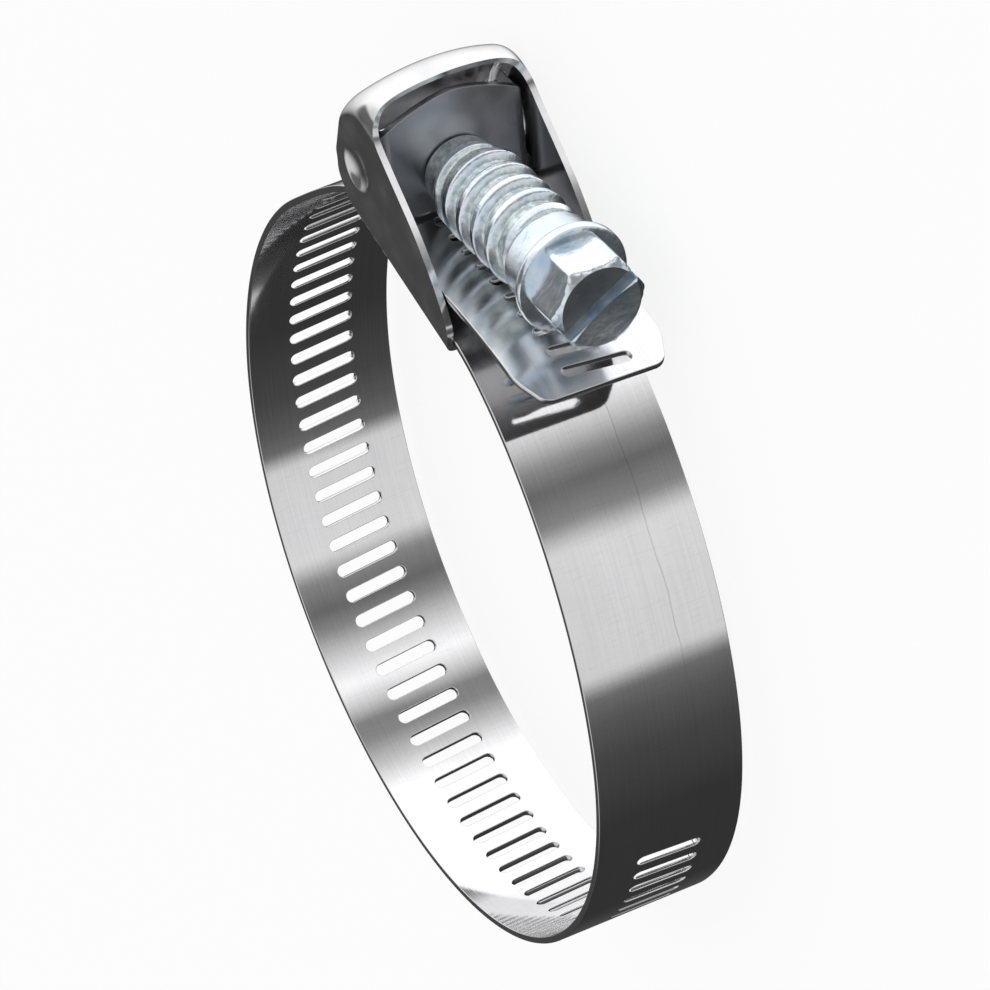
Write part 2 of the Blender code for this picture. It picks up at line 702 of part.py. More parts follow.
def main():
    empty_scene()
    parts = collection("worm_drive_clamp")
    cutters = collection("cutters")
    band_steel = metal("band_steel", (0.62, 0.61, 0.60), 0.22)
    housing_steel = metal("housing_steel", (0.52, 0.52, 0.53), 0.25)
    bracket_steel = metal("bracket_steel", (0.30, 0.30, 0.32), 0.40)
    zinc = metal("zinc_plate", (0.78, 0.82, 0.86), 0.22)
    pivot = empty("swivel_pivot", parts, (PIVOT_HEIGHT, PIVOT_BACK, 0), (0, 0, OPEN_TILT))
    axle = empty("screw_axis", parts, (-SCREW_DROP, 0, 0), (math.pi / 2, 0, 0), pivot)
    make_band(parts, cutters, band_steel)
    make_housing(parts, cutters, housing_steel)
    make_bracket(parts, cutters, bracket_steel, pivot)
    make_screw(parts, cutters, zinc, axle)


main()
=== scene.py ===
"""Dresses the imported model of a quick-release worm-drive band clamp.

Frame: +Z runs along the axis of the loop, +X points outwards through the
housing, and the head of the screw points towards -Y.  Units are metres.
"""
import math

import bmesh
import bpy
from bpy.props import FloatProperty, FloatVectorProperty, IntProperty, PointerProperty
from mathutils import Matrix, Vector


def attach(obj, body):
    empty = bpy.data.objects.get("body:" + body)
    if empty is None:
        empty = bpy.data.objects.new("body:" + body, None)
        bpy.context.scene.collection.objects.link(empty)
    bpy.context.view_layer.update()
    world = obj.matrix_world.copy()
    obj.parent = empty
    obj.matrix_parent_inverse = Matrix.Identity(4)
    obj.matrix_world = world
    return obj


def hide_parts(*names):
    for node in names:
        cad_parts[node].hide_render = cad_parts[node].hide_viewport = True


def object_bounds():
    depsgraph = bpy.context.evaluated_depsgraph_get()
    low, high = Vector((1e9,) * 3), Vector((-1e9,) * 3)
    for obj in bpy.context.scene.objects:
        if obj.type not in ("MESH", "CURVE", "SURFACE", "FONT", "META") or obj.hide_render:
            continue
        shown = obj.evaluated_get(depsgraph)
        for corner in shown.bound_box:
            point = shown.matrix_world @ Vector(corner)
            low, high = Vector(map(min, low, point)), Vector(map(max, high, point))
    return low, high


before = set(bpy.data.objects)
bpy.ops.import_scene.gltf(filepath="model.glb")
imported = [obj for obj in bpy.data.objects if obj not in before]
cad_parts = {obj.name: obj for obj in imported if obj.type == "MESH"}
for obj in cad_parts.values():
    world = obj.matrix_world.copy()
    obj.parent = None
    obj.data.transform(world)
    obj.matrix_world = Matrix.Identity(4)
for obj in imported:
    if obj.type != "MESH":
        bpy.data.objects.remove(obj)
CAD_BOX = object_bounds()

bl_info = {
    "name": "Quick-release band clamp",
    "version": (1, 0, 0),
    "blender": (4, 5, 0),
    "location": "View3D > Sidebar > Clamp",
    "description": "Band, housing, swivel bracket and worm screw of a band clamp",
    "category": "Add Mesh",
}

MM = 0.001
WIDE_CLEAR = 2 * MM  # how far a cutting tool runs past what it cuts
FAR = 40 * MM  # reach of a tool that cuts right through
MERGE = 0.0005 * MM  # corners closer than this become one


def length(millimetres, description):
    return FloatProperty(description=description, default=millimetres * MM,
                         unit="LENGTH", subtype="DISTANCE", precision=5)


def turn(degrees, description):
    return FloatProperty(description=description, default=math.radians(degrees),
                         unit="ROTATION", subtype="ANGLE")


def colour(value, description):
    return FloatVectorProperty(description=description, default=value, size=3,
                               subtype="COLOR", min=0.0, max=1.0)


class BandSizes(bpy.types.PropertyGroup):
    width: length(14.3, "Width of the strip")
    thickness: length(0.64, "Thickness of the strip")
    pitch: length(2.5, "Distance between slots, and lead of the worm thread")
    slot_width: length(1.15, "Width of each slot")
    slot_length: length(6.4, "Length of each slot across the strip")
    slot_skew: turn(5.0, "How far the slots lean, to match the thread")
    slot_offset: length(0.25, "How far the slots sit off the middle of the strip")
    slots: IntProperty(description="Number of slots", default=70, min=1)
    tip_margin: length(2.1, "From the tail's end to the middle of its last slot")
    tip_taper: length(3.3, "Length of the tapered corners at the tail's end")
    tip_half_width: length(5.8, "Half the width of the tail's end")
    tip_corner: length(0.9, "Radius of the tail's corners")
    edge: length(0.07, "Rounding of the sheared and punched edges")
    tail_rise: length(4.8, "How far the tail's end lifts off the seat")
    tail_reach: length(22.3, "How far the tail's end stands in front of the pivot line")
    tail_twist: turn(3.2, "How far the tail leans to one side")
    plain_end: length(6.6, "Where the plain end stops behind the seat's middle")
    leaves_seat: length(7.7, "Where the band leaves the seat, ahead of its middle")
    tail_enters: length(6.6, "Where the tail comes in, behind the seat's middle")
    tail_lifts: length(2.6, "Where the tail starts to rise, behind that middle")
    scuffed: length(30.0, "Length of the tail that the worm has dulled")


class LoopSizes(bpy.types.PropertyGroup):
    radius: length(34.3, "Mean outer radius of the loop")
    oval: length(1.72, "Height of the loop's oval form")
    oval_turn: turn(24.4, "Direction of the oval form")
    egg: length(0.42, "Height of the loop's egg form")
    egg_turn: turn(13.4, "Direction of the egg form")
    corner: length(0.16, "Height of the loop's four-sided form")
    corner_turn: turn(17.1, "Direction of the four-sided form")
    first: turn(-9.0, "Where the loop begins, after the seat")
    last: turn(-310.0, "Where the loop ends, before the tail enters the housing")
    below_seat: length(34.1, "Loop centre below the housing's underside")
    ahead: length(8.0, "Loop centre ahead of the housing's middle")


class HousingSizes(bpy.types.PropertyGroup):
    sheet: length(0.6, "Thickness of the sheet")
    gap: length(0.1, "Clearance between sheets that lie on each other")
    height: length(15.4, "Height of the arch's ridge above the underside")
    arch_front: length(7.3, "Where the arch begins")
    roof_radius: length(15.0, "Radius of the arch across the band")
    top_corner: length(3.0, "Radius between the walls and the arch")
    low_corner: length(0.9, "Radius between the walls and the base")
    back: length(12.2, "Where the end wall stands, behind the middle of the seat")
    roof_drop: length(7.0, "How far the arch curves down into the end wall")
    side_rounding: length(1.2, "Rounding between the walls and the end wall")
    wall_foot: length(5.0, "Height of the end wall's lower edge")
    edge: length(0.24, "Rounding of the sheared edges")
    pivot_height: length(5.7, "Height of the pivots above the underside")
    pivot_back: length(7.8, "Pivots behind the middle of the seat")
    pivot_radius: length(2.3, "Radius of the pressed pivots")
    pivot_depth: length(0.5, "Depth of the pressed pivots")
    button_radius: length(1.3, "Radius of the clinch buttons")
    button_depth: length(0.4, "Depth of the clinch buttons")
    button_back: length(4.4, "Clinch buttons behind the middle of the seat")
    button_spacing: length(7.0, "Distance between the clinch buttons")
    button_slope: length(0.45, "Width of the sloping rim of the clinch buttons")


class BracketSizes(bpy.types.PropertyGroup):
    open_tilt: turn(19.7, "How far the screw is swung open")
    sheet: length(0.65, "Thickness of the sheet")
    reach: length(2.95, "From the pivot line to the back of the plate")
    top: length(6.8, "Top of the plate above the pivot line")
    shoulder: length(4.9, "Top of the plate at its sides")
    bottom: length(-4.4, "Bottom of the plate below the pivot line")
    ear_radius: length(3.0, "Radius of the ears")
    bend: length(1.1, "Outer radius of the folds")
    play: length(0.12, "Running clearance in the pivots and round the screw")
    edge: length(0.14, "Rounding of the sheared edges")


class ScrewSizes(bpy.types.PropertyGroup):
    drop: length(1.1, "Screw axis below the pivot line")
    neck: length(2.3, "Radius of the neck in the plate")
    swaged: length(2.9, "Radius of the swaged end behind the plate")
    swaged_length: length(1.0, "Length of the swaged end")
    shoulder: length(3.35, "Radius of the shoulder in front of the plate")
    shoulder_length: length(1.7, "Length of that shoulder")
    thread: length(4.32, "Radius over the thread")
    depth: length(0.8, "Depth of the thread")
    thread_start: length(6.1, "Where the thread starts, from the pivot line")
    thread_end: length(19.2, "Where the thread ends, from the pivot line")
    collar: length(4.3, "Radius of the collar behind the flange")
    flange: length(5.2, "Radius of the flange")
    flange_thickness: length(1.0, "Thickness of the flange")
    flange_face: length(24.4, "Front of the flange, from the pivot line")
    across_flats: length(7.94, "Size of the hexagon across its flats")
    head: length(4.8, "Height of the hexagon")
    chamfer: length(0.7, "Height of the turned chamfer on the hexagon")
    slot_width: length(1.15, "Width of the driver slot")
    slot_depth: length(1.6, "Depth of the driver slot")
    slot_turn: turn(30.0, "Direction of the driver slot")
    dish: length(0.28, "How far the head's end is dished in the middle")


class Finishes(bpy.types.PropertyGroup):
    strip: colour((0.71, 0.71, 0.72), "Colour of the band")
    sheet: colour((0.66, 0.66, 0.67), "Colour of the housing")
    # Painted highlight: the sheared edges are much lighter than the faces of the same steel,
    # standing in for the highlight along the rounded rims.
    edge: colour((0.95, 0.95, 0.95), "Colour of the sheared edges")
    bracket: colour((0.47, 0.47, 0.50), "Colour of the swivel bracket")
    zinc: colour((0.80, 0.84, 0.88), "Colour of the plated screw")
    # The driver slot's walls are given a darker colour than the plated head.
    slot: colour((0.36, 0.40, 0.41), "Colour of the sawn driver slot")
    floor: colour((0.86, 0.86, 0.86), "Colour of the floor")


# Geometry helpers

X_AXIS, Y_AXIS, Z_AXIS = Vector((1, 0, 0)), Vector((0, 1, 0)), Vector((0, 0, 1))


def smooth_step(low, high, value):
    share = min(max((value - low) / (high - low), 0.0), 1.0)
    return share * share * (3 - 2 * share)


def cubic(start, handle_a, handle_b, end, steps):
    """Points of a cubic curve, without its first point."""
    points = []
    for step in range(1, steps + 1):
        t = step / steps
        r = 1.0 - t
        points.append(start * r ** 3 + handle_a * (3 * r * r * t)
                      + handle_b * (3 * r * t * t) + end * t ** 3)
    return points


def curve_value(knots, at):
    """Place at one height, on a smooth curve through (height, place) knots in millimetres."""
    at = min(max(at / MM, knots[0][0]), knots[-1][0])
    index = 0
    while index < len(knots) - 2 and at > knots[index + 1][0]:
        index += 1

    def slope(k):
        before, after = knots[max(k - 1, 0)], knots[min(k + 1, len(knots) - 1)]
        return (after[1] - before[1]) / (after[0] - before[0])

    (a, low), (b, high) = knots[index], knots[index + 1]
    t, span = (at - a) / (b - a), b - a
    value = (low * (1 + 2 * t) * (1 - t) ** 2 + slope(index) * span * t * (1 - t) ** 2
             + high * t * t * (3 - 2 * t) + slope(index + 1) * span * t * t * (t - 1))
    return value * MM


def directions(points):
    """The direction of a line of points at each of them."""
    last = len(points) - 1
    return [(points[min(index + 1, last)] - points[max(index - 1, 0)]).normalized()
            for index in range(last + 1)]


def arc(centre, radius, start, end, steps):
    angles = [start + (end - start) * step / steps for step in range(steps + 1)]
    return [centre + Vector((math.cos(a), math.sin(a))) * radius for a in angles]


def mirrored(points):
    """The points on the other side of the middle, in the opposite order."""
    return [Vector((p.x, -p.y)) for p in reversed(points)]


def smooth_outline(corners, steps):
    """A curve through every corner, its direction at each set by the two beside it."""
    points = [corners[0].copy()]
    last = len(corners) - 1
    for index in range(last):
        here, there = corners[index], corners[index + 1]
        before, after = corners[max(index - 1, 0)], corners[min(index + 2, last)]
        points += cubic(here, here + (there - before) / 6, there - (after - here) / 6,
                        there, steps)
    return points


def prism(outline, low, high, axes=(X_AXIS, Y_AXIS, Z_AXIS)):
    """A flat outline pushed from low to high; axes are the outline's two and the push."""
    bm = bmesh.new()
    first, second, push = axes
    ring = [bm.verts.new(first * p[0] + second * p[1] + push * low) for p in outline]
    pushed = bmesh.ops.extrude_face_region(bm, geom=[bm.faces.new(ring)])["geom"]
    moved = [item for item in pushed if isinstance(item, bmesh.types.BMVert)]
    bmesh.ops.translate(bm, verts=moved, vec=push * (high - low))
    bmesh.ops.recalc_face_normals(bm, faces=bm.faces[:])
    return bm


def add_drill(bm, radius, depth, segments, place=None):
    """Adds a round cutting tool along Z, or placed by a matrix."""
    bmesh.ops.create_cone(bm, cap_ends=True, segments=segments, radius1=radius, radius2=radius,
                          depth=depth, matrix=place or Matrix.Identity(4))
    return bm


def wrapped_grid(columns, rows, place):
    """A grid closed round into a tube: place(column, row) gives each corner, shares 0 to 1."""
    bm = bmesh.new()
    bmesh.ops.create_grid(bm, x_segments=columns, y_segments=rows, size=0.5)
    for vert in bm.verts:
        vert.co = place(vert.co.x + 0.5, vert.co.y + 0.5)
    bmesh.ops.remove_doubles(bm, verts=bm.verts[:], dist=MERGE)
    return bm


def to_mesh(bm, name):
    mesh = bpy.data.meshes.new(name)
    bm.to_mesh(mesh)
    bm.free()
    return mesh


def combined(bm, tools, name, sheet=0.0):
    """The mesh, given a sheet's thickness if asked, after each (operation, tool) in turn.

    What a tool cuts takes the piece's second material, as a sheared edge does.
    """
    base = bpy.data.objects.new(name, to_mesh(bm, name))
    scene = bpy.context.scene.collection
    scene.objects.link(base)
    if sheet:
        fold = base.modifiers.new("sheet", "SOLIDIFY")
        fold.thickness, fold.offset, fold.use_even_offset = sheet, -1.0, True
        fold.material_offset_rim = 1
    helpers = []
    for operation, tool in tools:
        for face in tool.faces:
            face.material_index = 1
        helper = bpy.data.objects.new("tool", to_mesh(tool, "tool"))
        scene.objects.link(helper)
        helpers.append(helper)
        step = base.modifiers.new("cut", "BOOLEAN")
        step.operation, step.solver, step.object = operation, "EXACT", helper
    bpy.context.view_layer.update()
    graph = bpy.context.evaluated_depsgraph_get()
    mesh = bpy.data.meshes.new_from_object(base.evaluated_get(graph))
    for spare in (*helpers, base):
        bpy.data.objects.remove(spare, do_unlink=True)
    return mesh


def finish_piece(name, mesh, node, body, materials):
    """Puts a piece in the scene in place of the CAD node it stands for."""
    piece = bpy.data.objects.new(name, mesh)
    bpy.context.scene.collection.objects.link(piece)
    mesh.materials.clear()
    for material in materials:
        mesh.materials.append(material)
    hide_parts(node)
    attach(piece, body)
    return piece


def round_edges(piece, width, segments, angle):
    """Rounds sharp edges in the second material and keeps the flats beside them flat."""
    step = piece.modifiers.new("rounded_edges", "BEVEL")
    step.width = width
    step.segments = segments
    step.limit_method = "ANGLE"
    step.angle_limit = math.radians(angle)
    step.harden_normals = True
    step.material = 1


# Shader maths

class Wire:
    """A node socket that Python arithmetic can be done on."""

    def __init__(self, tree, socket=None):
        self.tree = tree
        self.socket = socket

    def node(self, kind, settings=None, inputs=None, output=0):
        """Adds a node: its settings are set first, then the values or links of its sockets."""
        made = self.tree.nodes.new(kind)
        for name, value in (settings or {}).items():
            if name == "stops":
                ramp = made.color_ramp
                while len(ramp.elements) < len(value):
                    ramp.elements.new(0.5)
                for element, (position, shade) in zip(ramp.elements, value):
                    element.position = position
                    element.color = (shade, shade, shade, 1.0)
            else:
                setattr(made, name, value)
        for name, value in (inputs or {}).items():
            if isinstance(value, Wire):
                self.tree.links.new(value.socket, made.inputs[name])
            else:
                made.inputs[name].default_value = value
        return Wire(self.tree, made.outputs[output] if made.outputs else None)

    def math(self, operation, first, second=0.0):
        return self.node("ShaderNodeMath", {"operation": operation}, {0: first, 1: second})

    def __add__(self, other):
        return self.math("ADD", self, other)

    def __radd__(self, other):
        return self.math("ADD", other, self)

    def __sub__(self, other):
        return self.math("SUBTRACT", self, other)

    def __rsub__(self, other):
        return self.math("SUBTRACT", other, self)

    def __mul__(self, other):
        return self.math("MULTIPLY", self, other)

    def __truediv__(self, other):
        return self.math("DIVIDE", self, other)

    def clamped(self, low, high):
        """0 where the value is at low, 1 where it is at high, and smooth between."""
        return self.node("ShaderNodeMapRange", {"interpolation_type": "SMOOTHSTEP"},
                         {"Value": self, "From Min": low, "From Max": high})

    def mixed(self, below, above):
        """The colour below where the value is 0, and above where it is 1."""
        ends = [c if isinstance(c, Wire) else (*c, 1.0) for c in (below, above)]
        return self.node("ShaderNodeMix", {"data_type": "RGBA"},
                         {"Factor": self, 6: ends[0], 7: ends[1]}, 2)

    def noise(self, where, scale, detail, roughness=0.5, turned=0.0):
        """Noise with its own scale along X, Y and Z, turned about Z after that if asked."""
        mapped = self.node("ShaderNodeMapping", None,
                           {"Vector": where, "Scale": scale, "Rotation": (0, 0, turned)})
        return self.node("ShaderNodeTexNoise", None,
                         {"Vector": mapped, "Scale": 1.0, "Detail": detail,
                          "Roughness": roughness})

    def split(self):
        """The X, Y and Z of a vector."""
        parts = self.node("ShaderNodeSeparateXYZ", None, {"Vector": self})
        return [Wire(self.tree, end) for end in parts.socket.node.outputs]


def new_material(name):
    made = bpy.data.materials.new(name)
    made.use_nodes = True
    made.node_tree.nodes.clear()
    return made, Wire(made.node_tree)


def scaled(shade, factor):
    return tuple(min(value * factor, 1.0) for value in shade)


def metal(wire, base, roughness, height, strength, depth):
    """Ends a material in one metal shader, with a bump of that height."""
    bump = wire.node("ShaderNodeBump", None,
                     {"Height": height, "Strength": strength, "Distance": depth})
    shader = wire.node("ShaderNodeBsdfPrincipled", None,
                       {"Base Color": base, "Roughness": roughness, "Metallic": 1.0,
                        "Normal": bump})
    wire.node("ShaderNodeOutputMaterial", None, {"Surface": shader})


def place_coordinates(wire):
    """The piece's Object coordinates."""
    return wire.node("ShaderNodeTexCoord", None, None, 3)


def rolled_steel(shade, scuffed_from):
    """Cold-rolled strip: fine lines along it, faint patches and slight waviness.

    Its tail, which the worm has scraped over, is duller from scuffed_from on.
    """
    made, wire = new_material("rolled_steel")
    flat = wire.node("ShaderNodeUVMap", {"uv_map": "strip"})
    grain = wire.noise(flat, (60, 5200, 1), 4.0, 0.6)
    patches = wire.noise(flat, (90, 160, 1), 3.0)
    specks = wire.noise(flat, (2600, 2600, 1), 2.0)
    worn = patches.clamped(0.45, 0.72)
    base = (grain * 0.6 + patches * 0.4).clamped(0.3, 0.7).mixed(
        scaled(shade, 0.93), scaled(shade, 1.05))
    run, across, _ = flat.split()
    drift = patches * 1.6 * MM
    score = 1 - wire.math("ABSOLUTE", across + drift - 3.3 * MM).clamped(0.03 * MM, 0.09 * MM)
    score = score * run.clamped(17 * MM, 20 * MM) * (1 - run.clamped(46 * MM, 52 * MM))
    rubs = wire.noise(flat, (5200, 420, 1), 2.0, turned=0.75)
    base = (score * 0.30 + rubs.clamped(0.5, 0.72) * 0.06).mixed(base, scaled(shade, 0.30))
    scuffed = run.clamped(scuffed_from, scuffed_from + 6 * MM)
    roughness = 0.045 + grain * 0.04 + worn * 0.03 + scuffed * 0.11
    waves = wire.noise(flat, (130, 90, 1), 1.0)
    height = grain * 0.10 + specks * 0.10 + waves * 2.4
    metal(wire, base, roughness, height, 0.28, 0.02 * MM)
    return made


def formed_steel(name, shade, low, high):
    """Bright formed sheet: soft patches, fine scratches and a faint orange-peel."""
    made, wire = new_material(name)
    where = place_coordinates(wire)
    patches = wire.noise(where, (240, 240, 240), 3.0)
    scratches = wire.noise(where, (3800, 260, 900), 3.0, 0.65, 0.4)
    base = patches.clamped(0.35, 0.7).mixed(scaled(shade, 0.94), scaled(shade, 1.05))
    roughness = low + (patches * 0.6 + scratches * 0.4).clamped(0.3, 0.75) * (high - low)
    peel = wire.noise(where, (700, 700, 700), 2.0)
    metal(wire, base, roughness, scratches * 0.2 + peel * 0.8, 0.3, 0.02 * MM)
    return made


def sheared_steel(shade, name="sheared_edge"):
    """The broken edge that shears, punches and cutters leave: rough, in the colour it is given,
    which for the rims is a painted highlight.
    """
    made, wire = new_material(name)
    where = place_coordinates(wire)
    tears = wire.noise(where, (2600, 2600, 900), 3.0)
    base = tears.clamped(0.3, 0.7).mixed(scaled(shade, 0.88), shade)
    metal(wire, base, 0.46 + tears * 0.2, tears, 0.4, 0.03 * MM)
    return made


def bright_zinc(shade, screw_matrix, screw):
    """Bright zinc plate: uneven gloss; down in the thread's roots it is rougher and painted darker
    and greener, as painted shade in the grooves together with duller plating.
    """
    made, wire = new_material("bright_zinc")
    where = place_coordinates(wire)
    inverse = screw_matrix.inverted()
    own = wire.node("ShaderNodeMapping", None,
                    {"Vector": where, "Location": inverse.translation,
                     "Rotation": inverse.to_euler()})
    across, side, along = own.split()
    radius = wire.math("SQRT", across * across + side * side)
    crest = radius.clamped(screw.thread - screw.depth, screw.thread - 0.1 * MM)
    thread = 1 - along.clamped(screw.thread_end - 0.5 * MM, screw.thread_end + 0.5 * MM)
    # Painted shade: the thread's roots are darkened towards a greener grey, standing in for the
    # shade in the grooves together with duller plating there.
    painted_shade_and_dull_plate = thread * (1 - crest)
    cloud = wire.noise(where, (420, 420, 420), 3.0)
    fine = wire.noise(where, (1900, 1900, 1900), 3.0, 0.6)
    plate = cloud.clamped(0.35, 0.68).mixed(
        (shade[0] * 0.80, shade[1] * 0.88, shade[2] * 0.94), shade)
    # The darker, greener grey for the roots: painted shade together with duller plating.
    painted_shade_and_dull_colour = fine.clamped(0.35, 0.65).mixed((0.38, 0.44, 0.43), (0.74, 0.80, 0.80))
    base = (painted_shade_and_dull_plate * 0.8).mixed(plate, painted_shade_and_dull_colour)
    roughness = 0.12 + cloud * 0.12 + fine * 0.06 + painted_shade_and_dull_plate * 0.15
    metal(wire, base, roughness, cloud * 2.4 + fine * 0.6, 0.6, 0.06 * MM)
    return made


# Band

def loop_point(loop, angle):
    radius = (loop.radius + loop.oval * math.cos(2 * (angle - loop.oval_turn))
              + loop.egg * math.cos(3 * (angle - loop.egg_turn))
              + loop.corner * math.cos(4 * (angle - loop.corner_turn)))
    centre = Vector((-loop.below_seat, -loop.ahead))
    return centre + Vector((math.cos(angle), math.sin(angle))) * radius


def loop_direction(loop, angle):
    step = math.radians(0.1)
    return (loop_point(loop, angle - step) - loop_point(loop, angle + step)).normalized()


# Handles of the tail's curves: out of the loop, into the housing, off the seat, at the tip
LOOP_HANDLE, MOUTH_HANDLE, LIFT_HANDLE, TIP_HANDLE = 9.0 * MM, 3.2 * MM, 4.0 * MM, 12.3 * MM
TAIL_CURL = 0.1 * MM  # how far the last two handles lean


def band_route(band, loop, housing):
    """The middle of the strip's thickness, seen along the loop's axis."""
    lower = housing.sheet + housing.gap + band.thickness
    upper = lower + housing.gap + band.thickness
    forward = Vector((0, -1))
    leaves_seat = Vector((lower, -band.leaves_seat))
    joins_loop = loop_point(loop, loop.first)
    reach = (joins_loop - leaves_seat).length / 3
    route = [Vector((lower, band.plain_end)), leaves_seat]
    route += cubic(leaves_seat, leaves_seat + forward * reach,
                   joins_loop - loop_direction(loop, loop.first) * reach, joins_loop, 8)
    steps = 180
    for step in range(1, steps + 1):
        route.append(loop_point(loop, loop.first + (loop.last - loop.first) * step / steps))
    enters = Vector((upper, band.tail_enters))
    route += cubic(route[-1], route[-1] + loop_direction(loop, loop.last) * LOOP_HANDLE,
                   enters - forward * MOUTH_HANDLE, enters, 24)
    lifts = Vector((upper, band.tail_lifts))
    tip = Vector((upper + band.tail_rise, -band.tail_reach))
    route += cubic(lifts, lifts + Vector((TAIL_CURL, -LIFT_HANDLE)),
                   tip + Vector((-TAIL_CURL, TIP_HANDLE)), tip, 24)
    return [point - Vector((-along.y, along.x)) * (band.thickness / 2)
            for point, along in zip(route, directions(route))]


class Route:
    """Gives the place and direction of the strip at a distance along it."""

    def __init__(self, points):
        self.points = points
        self.stations = [0.0]
        for before, after in zip(points, points[1:]):
            self.stations.append(self.stations[-1] + (after - before).length)
        self.length = self.stations[-1]
        self.directions = directions(points)

    def at(self, run):
        low, high = 0, len(self.points) - 2
        while low < high:
            middle = (low + high + 1) // 2
            if run < self.stations[middle]:
                high = middle - 1
            else:
                low = middle
        span = self.stations[low + 1] - self.stations[low]
        share = (run - self.stations[low]) / span
        spot = self.points[low].lerp(self.points[low + 1], share)
        inside = min(max(share, 0.0), 1.0)
        return spot, self.directions[low].lerp(self.directions[low + 1], inside).normalized()


def flat_strip(band, length_of_strip):
    """The strip before punching: X along it, Y across, and Z its thickness."""
    bend = length_of_strip - band.tip_taper
    half, tip = band.width / 2, band.tip_half_width
    outline = [(0, -half), (bend, -half), (length_of_strip, -tip), (length_of_strip, tip),
               (bend, half), (0, half)]
    bm = prism(outline, -band.thickness / 2, band.thickness / 2)
    upright = [edge for edge in bm.edges
               if abs(edge.verts[0].co.z - edge.verts[1].co.z) > band.thickness / 2
               and edge.verts[0].co.x > bend - 0.01 * MM]
    bmesh.ops.bevel(bm, geom=upright, offset=band.tip_corner, offset_type="OFFSET",
                    segments=8, profile=0.5, affect="EDGES", material=-1)
    return bm


def slot_punches(band, stations):
    punches = bmesh.new()
    reach = (band.slot_length - band.slot_width) / 2
    lean = math.tan(band.slot_skew)
    for station in stations:
        outline = []
        for side, start in ((1, 0.0), (-1, math.pi)):
            centre = Vector((station + side * reach * lean, band.slot_offset + side * reach))
            outline += arc(centre, band.slot_width / 2, start, start + math.pi, 8)
        punch = prism(outline, -WIDE_CLEAR, WIDE_CLEAR)
        mesh = to_mesh(punch, "punch")
        punches.from_mesh(mesh)
        bpy.data.meshes.remove(mesh)
    return punches


def button_punches(band, housing):
    punches = bmesh.new()
    run = band.plain_end - housing.button_back
    for side in (-0.5, 0.5):
        place = Matrix.Translation((run, side * housing.button_spacing, 0))
        add_drill(punches, housing.button_radius + housing.gap, 2 * WIDE_CLEAR, 32, place)
    return punches


def roll_up(mesh, band, route):
    """Rolls the flat strip along its route and keeps its flat coordinates as a UV map."""
    flat = [vert.co.copy() for vert in mesh.vertices]
    facing = [corner.vector.copy() for corner in mesh.corner_normals]
    for face in mesh.polygons:
        if abs(face.normal.z) > 0.999:
            for index in face.loop_indices:
                facing[index] = face.normal.copy()
    corners = [loop.vertex_index for loop in mesh.loops]
    along = mesh.uv_layers.new(name="strip")
    for index, vertex in enumerate(corners):
        along.data[index].uv = (flat[vertex].x, flat[vertex].y)
    twist_from = route.length - band.tail_reach - band.tail_lifts
    frames = []
    for vert, (run, across, depth) in zip(mesh.vertices, flat):
        spot, direction = route.at(run)
        outwards = Vector((-direction.y, direction.x))
        free = max(run - twist_from, 0.0) / (route.length - twist_from)
        lean = math.sin(band.tail_twist) * min(3 * free, 1.0)
        lifted = spot + outwards * (depth - across * lean)
        vert.co = (lifted.x, lifted.y, -across)
        frames.append((direction, outwards, lean))
    normals = []
    for index, vertex in enumerate(corners):
        direction, outwards, lean = frames[vertex]
        a, b, c = facing[index]
        side = direction * a + outwards * c
        normals.append(Vector((side.x, side.y, -b - c * lean)).normalized())
    mesh.normals_split_custom_set(normals)


class CLAMP_OT_band(bpy.types.Operator):
    """Make the slotted band: punched flat, then rolled into its loop"""

    bl_idname = "clamp.band"
    bl_label = "Band"

    def execute(self, context):
        scene = context.scene
        band, loop, housing = scene.clamp_band, scene.clamp_loop, scene.clamp_housing
        route = Route(band_route(band, loop, housing))
        bm = flat_strip(band, route.length)
        last = route.length - band.tip_margin
        stations = [last - band.pitch * index for index in range(band.slots)]
        line = route.length - 0.4 * band.pitch
        while line > 0:
            bmesh.ops.bisect_plane(bm, geom=bm.verts[:] + bm.edges[:] + bm.faces[:],
                                   plane_co=(line, 0, 0), plane_no=X_AXIS)
            line -= band.pitch / 3
        mesh = combined(bm, [("DIFFERENCE", slot_punches(band, stations)),
                             ("DIFFERENCE", button_punches(band, housing))], "band_strip")
        bm = bmesh.new()
        bm.from_mesh(mesh)
        bmesh.ops.remove_doubles(bm, verts=bm.verts[:], dist=0.001 * MM)
        sharp = [edge for edge in bm.edges
                 if edge.is_manifold and edge.calc_face_angle() > math.radians(60)]
        bmesh.ops.bevel(bm, geom=sharp, offset=band.edge, offset_type="OFFSET", segments=2,
                        profile=0.5, affect="EDGES", material=1, clamp_overlap=True)
        bmesh.ops.triangulate(bm, faces=bm.faces[:], quad_method="BEAUTY", ngon_method="BEAUTY")
        half = 0.98 * band.thickness / 2
        for face in bm.faces:
            face.smooth = True
            face.material_index = 0 if abs(face.calc_center_median().z) > half else 1
        bm.to_mesh(mesh)
        bm.free()
        mesh.set_sharp_from_angle(angle=math.radians(50))
        roll_up(mesh, band, route)
        finishes = scene.clamp_finishes
        finish_piece("slotted_band", mesh, "band", "clamp",
                     [rolled_steel(finishes.strip, route.length - band.scuffed),
                      sheared_steel(finishes.edge)])
        return {"FINISHED"}


# Housing

# (height, place along Y) in millimetres: the walls' front edge, and the foot of the back
FRONT_EDGE = [(0, -9.5), (0.7, -9.5), (3.2, -8.7), (7.6, -3.1), (11.6, 5.1), (13.4, 6.8),
              (14.4, 7.3), (15.4, 7.3)]
FOOT_EDGE = [(-2.0, 7.4), (0.4, 8.0), (2.2, 10.4), (4.2, 11.4)]


def rounded_off(back, start, end, depth):
    """How far a rounded end of that depth has come in at a distance along Y."""
    along = min(max((back - start) / (end - start), 0.0), 1.0)
    return depth * (1.0 - math.sqrt(1.0 - along * along))


